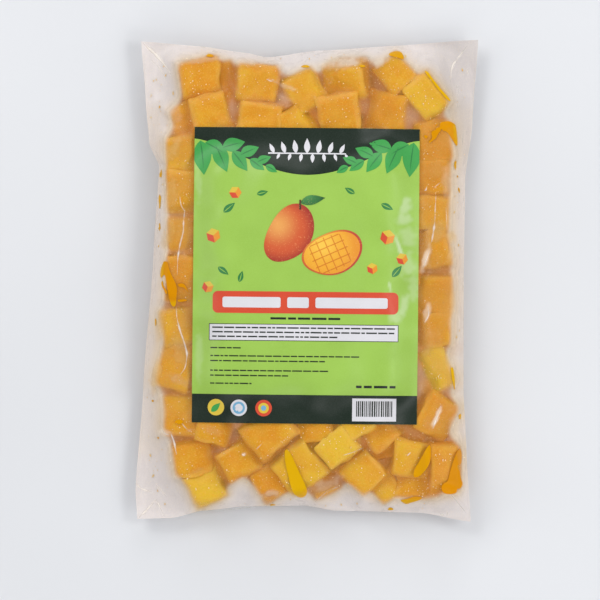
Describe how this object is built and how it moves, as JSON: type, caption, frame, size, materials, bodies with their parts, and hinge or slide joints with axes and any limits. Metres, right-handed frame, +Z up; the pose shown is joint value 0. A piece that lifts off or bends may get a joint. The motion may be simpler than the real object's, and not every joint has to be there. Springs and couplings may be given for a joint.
{
  "type": "bag of mango chunks",
  "caption": "Flat sealed clear bag filled with loose frozen mango chunks, with a rectangular label on its front, lying on its back.",
  "frame": {"origin": "middle of the bag in plan, on the surface that it lies on", "axes": "+Y towards the bag's top edge, +X to the right of the label as it is read, +Z up out of the label"},
  "size_m": [0.206, 0.2896, 0.0448],
  "materials": {
    "film": "clear, slightly milky film, wet and coloured where it lies on the orange fruit",
    "label": "semi-gloss printed label, light green with a dark green head"
  },
  "bodies": {
    "root": {"bag": "film", "label": "label"}
  },
  "joints": []
}
